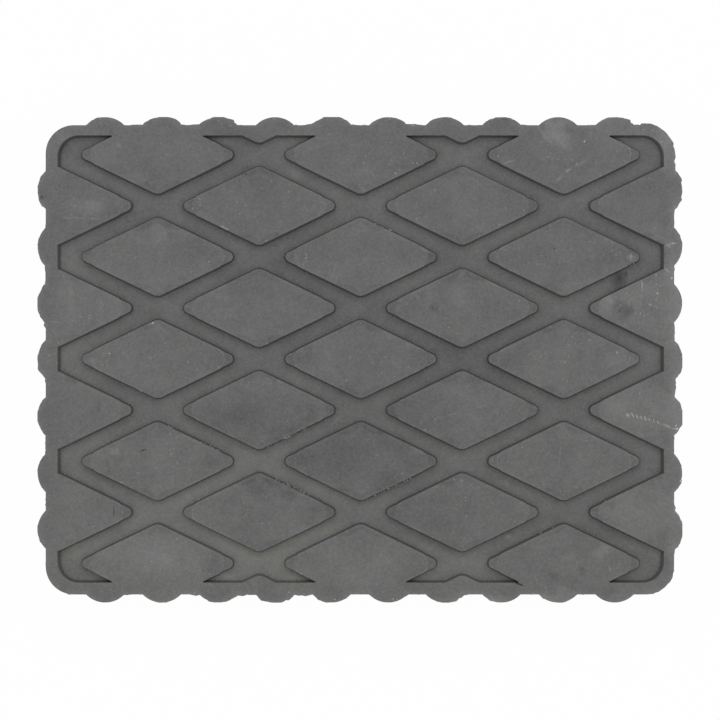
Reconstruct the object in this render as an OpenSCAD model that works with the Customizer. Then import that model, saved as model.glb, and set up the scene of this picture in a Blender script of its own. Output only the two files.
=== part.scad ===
// Moulded rubber pad for the lifting points of a car lift.
// One solid block of black rubber: a flat underside, upright rounded grip ribs all round its sides, and a
// tread face of diamond lugs inside a narrow rim.
// Millimetres, +Z up. The origin is the middle of the underside, and the long sides lie along X.

/* [Block] */
// Length of the block, measured between the feet of the grip ribs
block_l = 156; // [120:1:220]
// Width of the block, measured between the feet of the grip ribs
block_w = 116.5; // [90:0.5:160]
// Height from the flat underside to the tread face
block_h = 25; // [15:1:60]
// Radius of the four upright corners
corner_r = 7; // [5.5:0.5:9]

/* [Grip ribs] */
// How far a rib stands out from the side
rib_out = 2; // [1:0.1:3]
// Width of a rib where it meets the side
rib_w = 9.5; // [7:0.5:12]
// Distance from one rib to the next
rib_pitch = 14.05; // [13:0.05:20]
// Shortest plain length between a corner's arc and the first rib
rib_clear = 1; // [0:0.5:6]

/* [Tread] */
// Width of the rim round the tread
rim_w = 2.8; // [2:0.1:5]
// Radius of the tread's outer corners, at the face
recess_r = 5.3; // [3:0.1:9]
// Depth of the channels below the face
channel_d = 3; // [2:0.1:6]
// Slope of the channel walls off the vertical, in degrees
wall_draft = 6; // [1:0.5:12]
// Slope of the recess walls at the two short ends, in degrees
end_draft = 11; // [1:0.5:15]
// Radius where a channel wall meets the channel floor
foot_r = 0.3; // [0.2:0.1:1.2]
// How far the tread lies off the block's middle along the length, from the two mould halves
tread_shift_x = 0.2; // [-0.5:0.05:0.5]
// How far the tread lies off the block's middle along the width
tread_shift_y = 0.2; // [-0.5:0.05:0.5]

/* [Diamond lugs] */
// Length of a lug across its two acute tips, as if they were sharp
lug_l = 41.1; // [30:0.1:43]
// Width of a lug across its two blunt corners, as if they were sharp
lug_w = 19.9; // [14:0.1:21]
// Distance from one lug to the next along the length
lug_pitch_x = 50.4; // [48:0.1:65]
// Distance from one lug to the next along the width
lug_pitch_y = 25.35; // [24.5:0.05:35]
// Radius of the acute tips, at the face
tip_r = 1.35; // [0.5:0.05:2.5]
// Radius of the blunt corners, at the face
blunt_r = 2.5; // [1:0.1:5]

/* [Hidden] */
rubber = "#68696a";

// Straight steps that stand for an arc: at tips, blunt corners, recess corners and the foot of a wall
TIP_STEPS = 6;
BLUNT_STEPS = 4;
CORNER_STEPS = 7;
FOOT_STEPS = 3;
// Fragments of a full circle on the upright corners and on the ribs
CORNER_FN = 64;
RIB_FN = 96;
// How far a lug's foot is sunk into the block, and how far the recess cutter stands over the face
SUNK = 1;
OVER = 1;
// How far a lug has to reach over the recess edge before it is made
LEAST_REACH = 0.1;

recess_l = block_l - 2 * rim_w;
recess_w = block_w - 2 * rim_w;
floor_z = block_h - channel_d;
// A rib is a slice of an upright cylinder through the rib's two feet and its crest
rib_r = (rib_w * rib_w / 4 + rib_out * rib_out) / (2 * rib_out);
// Half the angle of a lug's acute tip
tip_half = atan(lug_w / lug_l);

// Number of ribs that fit a side of length l, and their places along it
function rib_count(l) = floor((l - 2 * (corner_r + rib_clear) - rib_w) / rib_pitch) + 1;
function rib_places(l) = [for (i = [0 : rib_count(l) - 1]) (i - (rib_count(l) - 1) / 2) * rib_pitch];

// Points of an arc round centre c, from angle a to angle b, with radius rx along X and ry along Y
function oval_arc(c, rx, ry, a, b, steps) =
    [for (k = [0 : steps]) c + [rx * cos(a + (b - a) * k / steps), ry * sin(a + (b - a) * k / steps)]];
function arc(c, r, a, b, steps) = oval_arc(c, r, r, a, b, steps);

// Outline of a lug round the origin, grown by g. Its arcs keep their centres, so all such outlines match
// point by point
function lug_outline(g) =
    let (
        tip_x = lug_l / 2 - tip_r / sin(tip_half),
        blunt_y = lug_w / 2 - blunt_r / cos(tip_half),
        turn = 90 - tip_half
    )
    concat(
        arc([tip_x, 0], tip_r + g, -turn, turn, TIP_STEPS),
        arc([0, blunt_y], blunt_r + g, turn, 180 - turn, BLUNT_STEPS),
        arc([-tip_x, 0], tip_r + g, 180 - turn, 180 + turn, TIP_STEPS),
        arc([0, -blunt_y], blunt_r + g, 180 + turn, 360 - turn, BLUNT_STEPS)
    );

// Outline of the recess at height z, shrunk by g. Its ends lean in more than its sides do, by end_draft
function recess_outline(g, z) =
    let (
        x = recess_l / 2 - recess_r,
        y = recess_w / 2 - recess_r,
        ry = recess_r - g,
        rx = ry - (block_h - z) * (tan(end_draft) - tan(wall_draft))
    )
    concat(
        oval_arc([x, y], rx, ry, 0, 90, CORNER_STEPS),
        oval_arc([-x, y], rx, ry, 90, 180, CORNER_STEPS),
        oval_arc([-x, -y], rx, ry, 180, 270, CORNER_STEPS),
        oval_arc([x, -y], rx, ry, 270, 360, CORNER_STEPS)
    );

// The arc at the foot of a channel wall, from the floor up to the sloped wall that it is tangent to.
// Each point is [distance out from the edge of the face, height]
foot_x = (channel_d - foot_r + foot_r * sin(wall_draft)) * tan(wall_draft) + foot_r * cos(wall_draft);
foot = arc([foot_x, floor_z + foot_r], foot_r, 270, 180 + wall_draft, FOOT_STEPS);

// Closed solid through a stack of outlines that have as many points each, the lowest first
module loft(rings, heights) {
    n = len(rings[0]);
    last = len(rings) - 1;
    points = [for (k = [0 : last]) for (p = rings[k]) [p.x, p.y, heights[k]]];
    sides = [
        for (k = [0 : last - 1]) for (i = [0 : n - 1])
            [k * n + i, (k + 1) * n + i, (k + 1) * n + (i + 1) % n, k * n + (i + 1) % n]
    ];
    bottom = [for (i = [0 : n - 1]) i];
    top = [for (i = [n - 1 : -1 : 0]) last * n + i];
    polyhedron(points = points, faces = concat(sides, [bottom, top]));
}

// Upright slab with round corners
module rounded_slab(l, w, r, h) {
    linear_extrude(height = h) {
        square([l - 2 * r, w], center = true);
        square([l, w - 2 * r], center = true);
        for (x = [-1, 1], y = [-1, 1])
            translate([x * (l / 2 - r), y * (w / 2 - r)])
                circle(r = r, $fn = CORNER_FN);
    }
}

// The upright ribs of one side of length l, standing out along -Y from a block of width w
module ribs(l, w) {
    for (x = rib_places(l))
        translate([x, rib_r - rib_out - w / 2, 0])
            cylinder(r = rib_r, h = block_h, $fn = RIB_FN);
}

// The block with its ribs, before the tread is cut
module block() {
    rounded_slab(block_l, block_w, corner_r, block_h);
    for (turn = [0, 180]) {
        rotate(turn)
            ribs(block_l, block_w);
        rotate(turn + 90)
            ribs(block_w, block_l);
    }
}

// The recess that the tread lies in, as a cutter. Its sloped wall goes on over the face, and is wider there
module recess_cutter() {
    top = [-OVER * tan(wall_draft), block_h + OVER];
    section = concat(foot, [top]);
    loft([for (p = section) recess_outline(p.x, p.y)], [for (p = section) p.y]);
}

// One lug round the origin, sunk into the block, with its sloped wall and the arc at its foot
module lug() {
    loft(
        concat([lug_outline(foot[0].x)], [for (p = foot) lug_outline(p.x)], [lug_outline(0)]),
        concat([floor_z - SUNK], [for (p = foot) p.y], [block_h])
    );
}

// True where point p lies inside the recess at the face
function in_recess(p) =
    let (
        dx = max(abs(p.x) - (recess_l / 2 - recess_r), 0),
        dy = max(abs(p.y) - (recess_w / 2 - recess_r), 0)
    )
    norm([dx, dy]) < recess_r - LEAST_REACH;
function lug_reaches(c) = len([for (p = lug_outline(0)) if (in_recess(p + c)) p]) > 0;

// Every second place of a half-pitch grid holds a lug, and the rim takes in what lies past the recess
module lugs() {
    cols = ceil(block_l / lug_pitch_x);
    rows = ceil(block_w / lug_pitch_y);
    for (i = [-cols : cols], j = [-rows : rows]) {
        c = [i * lug_pitch_x / 2, j * lug_pitch_y / 2];
        if ((i + j) % 2 == 0 && lug_reaches(c))
            translate(c)
                lug();
    }
}

module pad() {
    color(rubber) {
        difference() {
            block();
            translate([tread_shift_x, tread_shift_y, 0])
                recess_cutter();
        }
        intersection() {
            translate([tread_shift_x, tread_shift_y, 0])
                lugs();
            rounded_slab(block_l - rim_w, block_w - rim_w, corner_r - rim_w / 2, block_h);
        }
    }
}

pad();
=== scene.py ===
import math
import random

import bmesh
import bpy
from mathutils import Matrix, Vector


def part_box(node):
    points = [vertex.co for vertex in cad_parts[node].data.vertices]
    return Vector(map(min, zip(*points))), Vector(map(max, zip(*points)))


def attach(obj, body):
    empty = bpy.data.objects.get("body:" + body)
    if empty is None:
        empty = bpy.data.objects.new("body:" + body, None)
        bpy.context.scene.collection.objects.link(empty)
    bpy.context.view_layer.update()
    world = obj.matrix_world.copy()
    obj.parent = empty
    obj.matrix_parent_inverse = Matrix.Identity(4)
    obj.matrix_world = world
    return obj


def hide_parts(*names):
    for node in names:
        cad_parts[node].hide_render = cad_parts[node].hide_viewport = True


bl_info = {
    "name": "Lift Pad",
    "version": (1, 0, 0),
    "blender": (4, 5, 0),
    "location": "3D View > Sidebar > Lift Pad",
    "description": "Models a worn moulded rubber pad for a car lift, and its table and lights",
    "category": "Add Mesh",
}

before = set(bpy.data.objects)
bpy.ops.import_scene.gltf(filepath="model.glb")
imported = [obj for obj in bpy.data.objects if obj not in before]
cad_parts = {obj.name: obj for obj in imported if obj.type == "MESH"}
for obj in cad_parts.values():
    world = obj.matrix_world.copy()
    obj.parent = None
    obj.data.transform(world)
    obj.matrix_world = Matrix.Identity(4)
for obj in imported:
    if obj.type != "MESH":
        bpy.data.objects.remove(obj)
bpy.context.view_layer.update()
PAD_LOW, PAD_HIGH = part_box("pad")

MM = 0.001
UP = Vector((0.0, 0.0, 1.0))

# Two places closer than this are one place
TINY = 0.00001 * MM
# Cutters miss flat faces by this much, so that no two faces are flush
CLEAR = 0.002 * MM
# How far a cutter stands over the face
OVER = 1.0 * MM
# How far a lug reaches past the recess cutter, over its top and below the channel floor
PAST = 0.5 * MM
# The table lies this far under the pad, so that no ray mistakes one for the other
TABLE_GAP = 0.05 * MM
# Two lumps are apart when their distance is over this many times their reach
LUMP_ROOM = 1.2

# Straight steps that stand for an arc
TIP_STEPS = 12
BLUNT_STEPS = 8
CORNER_STEPS = 12
UPRIGHT_STEPS = 24
RIB_STEPS = 22
FOOT_STEPS = 6
EDGE_STEPS = 3
SHOULDER_STEPS = 3
# Cuts across each plain flat of the outline, where the trimmed edge can turn
FLAT_CUTS = 9

# A face is level, and stays flat in its shading, when its normal is this close to upright
LEVEL = 0.99999
# Faces whose directions differ by more than this keep a sharp edge between them
SHARP_ANGLE = math.radians(32)

# Rings of the block from its lower edge up: depth under the face, and the share of the flash shown there
FLASH_RINGS = ((0.9 * MM, 0.0), (0.3 * MM, 0.7), (0.08 * MM, 1.0), (0.0, 0.8))

# Strokes of the trimming knife: the shortest and the longest, as shares of the mean, how much of its drift
# one hands on to the next, and how many of them start where the last one ended
STROKE_RANGE = (0.35, 1.8)
DRIFT_KEPT = 0.9
STROKES_JOINED = 0.7

# The foot of a tip step's sloped wall lies this far outside the step's arc
STEP_FOOT = 0.05 * MM
# Two faint rings beyond the step lower the tip a little more, as (towards the tip, down) moves
TIP_RINGS = ((0.5 * MM, 0), (0.03 * MM, 0.03 * MM), (0.45 * MM, 0), (0.03 * MM, 0.03 * MM))
# How far the cutter of a tip step reaches past the tip
STEP_MARGIN = 2 * MM

# Material slots of the pad
RUBBER_SLOT = 0
TORN_SLOT = 1
SCUFFED_SLOT = 2

# Ragged stretches of flash along lug edges. Each is a lug's column and row, the side of the lug that the
# edge is on (1 for right or upper, -1 for left or lower), where the stretch starts and ends between the
# blunt corner (0) and the acute tip (1), how many nibs it has and how many of those are freshly torn
RAGS = (
    (-1, -1, 1, -1, 0.06, 0.58, 14, 1),
    (-1, -1, 1, -1, 0.30, 0.37, 4, 4),
    (-1, -3, 1, 1, 0.12, 0.61, 11, 1),
    (-1, -3, 1, 1, 0.33, 0.38, 3, 0),
    (-2, -2, 1, 1, 0.52, 0.78, 6, 3),
    (-2, -2, 1, 1, 0.13, 0.19, 3, 2),
    (0, -2, 1, -1, 0.15, 0.62, 12, 2),
    (0, 2, 1, 1, 0.14, 0.42, 4, 2),
    (3, -3, -1, 1, 0.72, 0.73, 1, 1),
    (-1, -3, -1, 1, 0.71, 0.72, 1, 0),
    (-2, 0, -1, -1, 0.20, 0.22, 1, 1),
    (2, -4, -1, 1, 0.02, 0.29, 2, 0),
    (2, 2, 1, -1, 0.78, 0.86, 2, 1),
    (1, 3, 1, 1, 0.76, 0.82, 2, 0),
)

# Where in its own part of the stretch a nib may lie, its half length as a share of the setting, and how
# much smaller a freshly torn one is
NIB_PLACES = (0.1, 0.9)
NIB_LENGTHS = (0.5, 1.3)
FRESH_NIB = 0.45
# In half lengths of the nib: its half width and half height, and how far its middle lies out from the edge
# and below the face
NIB_WIDTHS = (0.55, 0.9)
NIB_HEIGHT = 0.42
NIB_OUT = (0.4, 1.0)
NIB_SUNK = 0.45

# How uneven nibs and damage are, as a share of their size
NIB_ROUGH = 0.16
DAMAGE_ROUGH = 0.12

# Chips, pits and nicks in the face: place, half length, half width and depth in millimetres, turn in
# degrees and the slot of the surface that they leave. The first is where the cutter of the mould ran on
# past a notch, and the next three are flakes torn up at the end of the scuff
DAMAGE = (
    (38.9, -55.3, 2.4, 0.32, 1.2, -25, RUBBER_SLOT),
    (78.6, -17.1, 0.45, 0.35, 0.12, -20, TORN_SLOT),
    (78.4, -16.3, 0.2, 0.45, 0.12, -20, TORN_SLOT),
    (77.8, -17.1, 0.4, 0.16, 0.12, -12, SCUFFED_SLOT),
    (79.5, -30.1, 0.35, 0.2, 0.1, 80, TORN_SLOT),
    (78.1, 36.2, 0.3, 0.2, 0.1, 100, TORN_SLOT),
    (78.1, 38.0, 0.35, 0.16, 0.1, 80, SCUFFED_SLOT),
    (-64.3, 59.9, 0.3, 0.16, 0.1, 30, SCUFFED_SLOT),
    (-21.2, 59.8, 0.3, 0.16, 0.1, 10, SCUFFED_SLOT),
    (7.4, 59.8, 0.3, 0.16, 0.1, 160, SCUFFED_SLOT),
    (13.2, 58.1, 0.3, 0.18, 0.1, 20, SCUFFED_SLOT),
    (-62.1, 1.6, 0.24, 0.17, 0.06, 20, TORN_SLOT),
    (-51.4, 9.1, 0.4, 0.16, 0.05, 20, TORN_SLOT),
    (-54.5, -7.7, 0.2, 0.15, 0.05, 10, TORN_SLOT),
    (18.6, 42.1, 0.2, 0.14, 0.05, 40, TORN_SLOT),
    (34.6, 33.5, 0.22, 0.14, 0.05, 0, SCUFFED_SLOT),
    (-6.2, -59.4, 0.2, 0.14, 0.06, 0, TORN_SLOT),
    (8.2, -59.3, 0.18, 0.13, 0.06, 30, TORN_SLOT),
    (9.2, -59.4, 0.2, 0.12, 0.06, 60, TORN_SLOT),
    (-33.1, 32.3, 0.2, 0.14, 0.05, 20, SCUFFED_SLOT),
    (-17.6, -57.6, 0.18, 0.14, 0.05, 0, SCUFFED_SLOT),
    (-24.3, -40.5, 0.18, 0.12, 0.05, 0, SCUFFED_SLOT),
    (-37.2, -40.7, 0.18, 0.12, 0.05, 50, SCUFFED_SLOT),
    (22.6, 21.0, 0.18, 0.12, 0.05, 0, SCUFFED_SLOT),
    (60.3, -31.0, 0.2, 0.14, 0.05, 15, SCUFFED_SLOT),
    (76.8, 28.0, 0.35, 0.1, 0.05, 75, SCUFFED_SLOT),
    (67.1, 24.9, 0.18, 0.14, 0.05, 0, SCUFFED_SLOT),
    (48.2, 27.6, 0.28, 0.22, 0.25, 0, RUBBER_SLOT),
    (-28.2, 46.0, 0.22, 0.18, 0.3, 0, RUBBER_SLOT),
    (-8.5, 20.9, 0.22, 0.18, 0.3, 0, RUBBER_SLOT),
    (-17.7, -31.0, 0.4, 0.3, 0.4, 25, RUBBER_SLOT),
    (-5.6, 32.9, 0.35, 0.3, 0.4, -25, RUBBER_SLOT),
    (10.6, 41.4, 0.3, 0.25, 0.4, -25, RUBBER_SLOT),
    (41.7, 40.3, 0.35, 0.3, 0.4, 0, RUBBER_SLOT),
    (50.1, -40.7, 0.35, 0.25, 0.4, 30, RUBBER_SLOT),
    (-21.4, -54.8, 0.35, 0.25, 0.4, 0, RUBBER_SLOT),
    (-78.9, 40.3, 0.5, 0.5, 0.5, 0, RUBBER_SLOT),
    (79.2, -17.9, 0.8, 0.3, 1.0, 12, RUBBER_SLOT),
    (21.4, 60.1, 1.1, 0.3, 0.25, 0, RUBBER_SLOT),
    (36.0, 59.6, 1.2, 0.3, 0.25, -8, RUBBER_SLOT),
)

# A row of scuff marks across a half lug and the rim: first and last place and half length, in millimetres,
# and how many
SCUFF = ((67.6, -13.7, 0.85), (73.9, -15.4, 0.55), 7)
# A mark's length as a share of what the row gives, half width and depth in millimetres, and turn in degrees
SCUFF_LENGTHS = (0.8, 1.15)
SCUFF_WIDTHS = (0.16, 0.26)
SCUFF_DEPTH = 0.08
SCUFF_TURNS = (104, 118)

# Soft areas of the tread face: place, half length and half width in millimetres, turn in degrees, and how
# much paler or darker the face is made there
AREAS = (
    (-28.5, -14.4, 17.0, 7.5, 0, -0.3),
    (-6.2, -24.3, 18.0, 10.5, 0, -0.3),
    (-24.3, -31.2, 7.5, 4.0, 0, -0.27),
    (-17.9, -33.5, 2.6, 2.6, 0, -0.3),
    (-22.0, -30.6, 3.4, 1.4, -30, -0.25),
    (15.0, -38.4, 11.0, 9.0, 0, -0.27),
    (-50.3, -49.6, 19.0, 11.0, 0, 0.3),
    (-49.6, -48.6, 4.5, 3.5, 0, 0.2),
    (-37.2, -50.3, 3.4, 2.8, 0, -0.34),
    (0.0, -52.6, 20.0, 8.5, 0, 0.17),
    (50.6, -50.8, 20.0, 9.5, 0, 0.1),
    (59.8, -47.4, 2.9, 2.5, 0, 0.5),
    (51.8, -48.6, 2.0, 1.5, 0, 0.3),
    (47.6, -54.0, 2.3, 2.0, 0, -0.25),
    (54.8, -52.3, 2.0, 1.8, 0, -0.22),
    # From here to the corner patch, these areas and a long strip make the right side of the face paler
    (71.9, -11.9, 14.5, 9.0, 0, 0.4),
    (71.0, 14.9, 14.0, 9.0, 0, 0.28),
    (70.7, -37.7, 13.5, 8.5, 0, 0.36),
    (73.9, 31.7, 5.0, 2.3, -10, 0.4),
    (78.4, 0.0, 3.2, 60.0, 0, 0.42),
    (74.9, 53.3, 4.0, 7.0, 0, 0.7),
    (69.5, 57.0, 4.5, 1.6, -10, 0.3),
    (48.7, 55.4, 5.2, 2.8, -43, 0.8),
    (65.5, -35.8, 3.6, 3.4, 0, 0.2),
    (-30.0, -55.0, 9.0, 5.0, 0, 0.12),
    (-72.0, -30.0, 7.0, 15.0, 0, 0.14),
    (-66.0, 17.0, 11.0, 8.0, 0, 0.12),
    (4.0, -14.0, 13.0, 9.0, 0, -0.12),
    (-67.5, 37.7, 6.0, 3.0, 0, 0.45),
    (-72.9, 14.9, 3.5, 10.0, 0, 0.2),
    (-61.5, -22.3, 1.8, 1.5, 0, 0.6),
    (-50.3, -25.0, 17.5, 9.5, 0, 0.18),
    (-36.7, -25.3, 3.0, 2.3, 0, -0.25),
    (-27.3, 6.2, 3.5, 2.3, 0, 0.28),
    (24.3, 16.1, 3.5, 4.0, 0, 0.28),
    (18.4, 12.7, 2.1, 1.8, 0, -0.45),
    (36.0, 0.0, 4.0, 3.0, 0, -0.22),
    (-11.2, 1.2, 1.8, 2.5, 0, 0.2),
    (65.3, 12.4, 3.0, 2.5, 40, -0.7),
    (61.6, 14.6, 1.8, 2.6, 15, 0.45),
    (67.0, -11.6, 4.0, 3.0, 0, 0.15),
    (-49.6, 31.2, 3.0, 3.0, 0, 0.3),
    (67.0, 25.6, 1.5, 2.0, 0, 0.5),
    (62.0, 25.0, 1.5, 2.3, 0, -0.15),
    (41.4, -28.3, 2.0, 1.0, 0, 0.2),
    (39.4, -36.7, 2.0, 1.3, 60, 0.2),
    (62.5, -12.5, 4.5, 3.5, 0, 0.3),
    (62.5, 12.9, 4.0, 3.2, 0, 0.25),
    (62.5, -37.8, 4.5, 3.5, 0, 0.22),
    (64.0, 0.2, 4.0, 3.0, 0, 0.3),
    (-12.5, -12.5, 4.2, 3.4, 0, -0.3),
    (-13.5, -25.0, 5.0, 4.0, 0, -0.3),
    (-13.5, 0.2, 5.0, 4.0, 0, -0.28),
    (-11.0, -37.8, 5.0, 4.0, 0, -0.27),
    (11.5, 12.9, 4.5, 3.5, 0, -0.2),
    (-36.5, 51.0, 4.0, 3.0, 0, 0.25),
    (-61.5, -12.5, 4.0, 3.0, 0, 0.1),
    (-57.0, 10.0, 22.0, 30.0, 0, 0.14),
    (8.0, -20.0, 26.0, 24.0, 0, -0.17),
    (16.0, 50.0, 12.0, 8.0, 0, -0.17),
    (7.0, -29.5, 6.5, 3.5, 0, -0.3),
    (-67.5, 0.0, 2.6, 2.4, 0, 0.35),
    (76.5, 22.5, 2.6, 4.5, 0, 0.35),
    (48.5, -58.6, 7.0, 2.2, 0, 0.6),
    (77.4, -46.4, 2.4, 4.5, 0, 0.4),
    (48.0, 59.0, 4.5, 1.6, 0, 0.5),
    (-76.3, 2.6, 2.0, 3.0, 0, -0.25),
    (63.8, -58.8, 3.0, 2.0, 0, 0.25),
    (61.5, 59.0, 3.0, 1.8, 0, 0.22),
    (14.4, -23.1, 2.2, 2.0, 0, 0.27),
    (15.2, 16.8, 2.2, 2.0, 0, -0.27),
    (25.3, 21.6, 2.0, 1.6, 0, 0.25),
    (75.2, -35.5, 3.0, 3.0, 0, 0.3),
    (76.7, 48.1, 2.5, 4.5, 0, 0.4),
    (-18.5, -18.3, 8.5, 3.2, 26, -0.27),
    (29.3, -5.5, 4.5, 3.0, 0, -0.25),
    (-37.2, -53.0, 3.2, 2.6, 0, -0.34),
    (-12.1, -15.2, 3.0, 2.2, 0, -0.35),
    (76.7, 28.0, 2.0, 2.6, 0, 0.42),
    (52.0, -52.6, 3.0, 2.4, 0, 0.25),
    (24.0, 46.3, 4.0, 2.4, 26, -0.25),
    (-31.2, -6.7, 3.5, 2.2, -26, -0.25),
    (71.0, 13.5, 3.5, 3.0, 0, -0.38),
    (69.5, -12.4, 3.5, 3.0, 0, -0.5),
    (-48.8, 8.4, 4.5, 2.6, 0, 0.22),
    (53.0, 18.0, 5.5, 3.0, 0, 0.36),
    (33.0, 18.0, 4.5, 3.0, 0, 0.22),
    (68.0, 25.3, 2.3, 2.0, 0, 0.58),
    (-10.6, -4.0, 3.2, 2.2, 0, -0.25),
    (1.3, 50.0, 4.0, 3.0, 0, -0.28),
    (-73.5, 55.5, 3.0, 3.0, 0, 0.36),
    (68.2, 0.2, 2.2, 1.8, 0, 0.46),
    (-33.0, 50.9, 3.0, 2.2, 0, 0.28),
    (-58.0, 38.7, 3.5, 3.0, 0, 0.26),
    (34.0, -58.8, 4.0, 1.6, 0, 0.7),
    (-31.0, -38.7, 3.5, 3.0, 0, 0.26),
    (-43.6, 19.8, 3.0, 2.2, 0, -0.26),
)

# Wiped marks, scratches and rubbed spots of the face, in the same form. They are broken up by patchy bloom
SMEARS = (
    (76.2, -16.4, 2.3, 0.5, -16, 0.95),
    (-69.0, 35.1, 6.5, 0.34, -3, 0.6),
    (-60.0, 53.3, 1.0, 0.8, 0, 0.4),
    (-38.4, 35.7, 3.6, 0.5, -27, 0.15),
    (-33.7, 32.7, 1.5, 0.4, -27, 1.6),
    (-51.3, 33.2, 1.6, 0.5, 60, 0.2),
    (-48.4, 31.5, 1.8, 0.5, -60, 0.25),
    (-50.6, 29.3, 1.6, 0.45, 20, 0.15),
    (-67.2, 25.3, 0.7, 1.6, 0, 0.25),
    (-39.2, 24.3, 2.3, 1.0, -20, 0.3),
    (1.0, 42.2, 1.6, 0.6, 0, 0.32),
    (-6.0, 20.6, 2.5, 1.0, -10, 0.18),
    (16.4, 27.0, 2.0, 0.35, -27, 0.65),
    (46.0, 55.4, 4.5, 0.5, -50, 0.35),
    (49.0, 54.0, 3.5, 0.4, -35, 0.18),
    (49.4, 45.2, 1.4, 0.45, 55, 0.85),
    (51.6, 47.0, 2.0, 0.5, 38, 0.85),
    (54.9, 48.8, 2.4, 0.5, 25, 0.65),
    (53.8, 48.4, 0.6, 0.6, 0, 0.8),
    (37.0, 49.1, 2.0, 0.33, 18, 1.1),
    (39.9, 48.6, 1.5, 0.3, -35, 0.28),
    (55.8, 54.2, 0.4, 0.4, 0, 2.9),
    (77.1, 28.6, 2.0, 0.3, 14, 1.9),
    (76.3, 22.2, 1.3, 0.3, -46, 0.85),
    (77.5, 20.3, 0.35, 0.4, 0, 3.2),
    (73.8, 16.4, 0.35, 0.35, 0, 2.0),
    (73.4, 20.9, 0.3, 0.3, 0, 2.8),
    (70.0, 18.4, 0.28, 1.7, 6, 1.9),
    (66.6, 13.8, 0.24, 1.4, -8, 0.6),
    (69.7, 14.2, 0.22, 0.9, 0, 0.5),
    (72.2, 13.8, 0.9, 0.25, -35, 2.4),
    (60.0, 13.4, 0.3, 1.5, 0, 0.3),
    (64.3, 12.0, 0.35, 1.6, -20, -0.5),
    (67.2, 25.3, 0.25, 1.5, -5, 1.4),
    (66.6, -13.7, 0.9, 0.7, 0, 1.4),
    (-71.7, 15.6, 1.0, 6.0, 2, 0.16),
    (-64.2, 12.2, 0.8, 4.0, 2, 0.2),
    (-75.6, 9.4, 2.5, 0.3, 0, 0.25),
    (-51.6, 8.9, 0.8, 0.35, 20, 0.5),
    (-62.2, 1.7, 0.5, 0.5, 0, 0.4),
    (-58.5, 1.7, 0.4, 0.4, 0, 0.35),
    (-62.7, -1.5, 0.5, 0.5, 0, 0.2),
    (-59.8, -1.5, 0.6, 0.5, 0, 0.3),
    (-22.8, -4.7, 1.3, 0.5, -27, 0.9),
    (-19.8, -5.4, 1.2, 0.35, -27, 0.6),
    (21.6, -13.9, 4.3, 0.28, 14, 0.36),
    (29.3, -11.9, 3.3, 0.24, 17, 0.28),
    (-2.0, 7.2, 4.0, 0.3, 25, 0.1),
    (-3.7, 5.0, 2.6, 0.28, 40, 0.2),
    (-7.4, 13.4, 0.6, 1.3, 0, 0.28),
    (54.6, -0.5, 4.0, 0.4, 28, 0.1),
    (59.5, 3.7, 2.0, 0.8, 20, 0.18),
    (-58.8, -51.1, 0.3, 5.0, 3, 0.12),
    (49.6, -23.5, 0.45, 4.5, -8, 0.32),
    (-16.4, 0.7, 0.4, 1.2, 0, 0.22),
    (-62.5, -26.3, 3.6, 0.24, -74, -0.4),
    (-53.8, -22.6, 1.0, 0.25, 15, -1.2),
    (-61.0, -37.2, 0.3, 2.5, 0, -0.8),
    (-64.7, -11.9, 0.24, 4.0, 3, -0.35),
    (-59.0, -12.4, 0.22, 1.5, 0, -0.35),
)

# Dust that has settled on the channel floors, a few barer stretches, and one strip of painted shade beside
# a lug wall, in the same form
SILT_AND_SHADE = (
    (-70.0, 5.0, 13.0, 46.0, 0, 0.2),
    (-66.0, -21.0, 8.0, 5.0, 0, 0.25),
    (-15.0, 20.0, 34.0, 24.0, 0, -0.2),
    (-17.0, -49.0, 24.0, 14.0, 0, 0.36),
    (-31.0, -54.5, 7.0, 3.0, 0, 0.3),
    (34.0, -52.0, 26.0, 9.0, 0, 0.2),
    (-63.0, -50.0, 15.0, 9.0, 0, 0.22),
    (-16.0, 51.0, 17.0, 8.0, 0, 0.2),
    (60.0, 6.0, 14.0, 10.0, 0, -0.14),
    (16.5, -52.5, 4.0, 5.0, 0, 0.42),
    (-10.5, -32.0, 7.5, 2.8, 0, 0.42),
    (-33.0, 54.8, 4.0, 2.2, 0, 0.42),
    (-73.5, -22.5, 3.0, 4.0, 0, 0.35),
    (-74.0, 51.5, 2.6, 4.0, 0, -0.4),
    (-15.8, -54.2, 3.5, 2.2, 0, 0.32),
    (-33.5, -54.0, 4.0, 2.2, 0, 0.4),
    (17.5, -47.0, 4.0, 2.6, 0, 0.34),
    (-3.7, -34.5, 5.0, 2.6, 0, 0.34),
    (74.0, -48.0, 2.4, 3.6, 0, 0.3),
    (-71.0, -46.5, 4.0, 4.0, 0, 0.3),
    (-55.0, -40.0, 5.0, 3.6, 0, 0.3),
    (-7.0, -43.2, 5.0, 3.0, 0, 0.26),
    (63.0, 17.3, 3.0, 2.2, 0, -0.3),
    (-39.7, -34.7, 40.0, 24.0, 0, 0.26),
    (-19.8, -50.1, 15.0, 4.0, 0, 0.18),
    (24.8, -50.1, 8.0, 4.0, 0, 0.18),
    (-16.4, 46.1, 3.0, 1.4, -30, 0.25),
    (-10.4, 43.2, 3.3, 1.2, -30, 0.15),
    (-65.0, 46.1, 1.6, 0.9, -28, 0.25),
    (-5.7, -14.9, 2.8, 0.5, 50, 0.3),
    (-14.9, -18.6, 4.0, 1.6, 25, 0.2),
    (36.7, -31.0, 0.9, 1.1, 0, 0.3),
    (37.0, -43.9, 0.9, 1.0, 0, 0.5),
    (40.7, -32.0, 0.4, 0.4, 0, 0.35),
    (71.9, 1.0, 3.0, 2.5, 0, 0.15),
    (-72.4, 1.2, 3.0, 5.0, 0, 0.15),
    (25.3, 0.2, 24.0, 12.0, 0, -0.2),
    (-68.5, 52.0, 4.0, 5.0, 0, -0.15),
    # Painted shade: a darker strip on the floor along the lower left wall of a lug
    (-63.7, -28.8, 6.0, 1.6, -27, -0.25),
    (64.4, 19.8, 2.6, 2.6, 0, -0.95),
    (66.0, 21.4, 1.2, 1.2, 0, -0.7),
)

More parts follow.
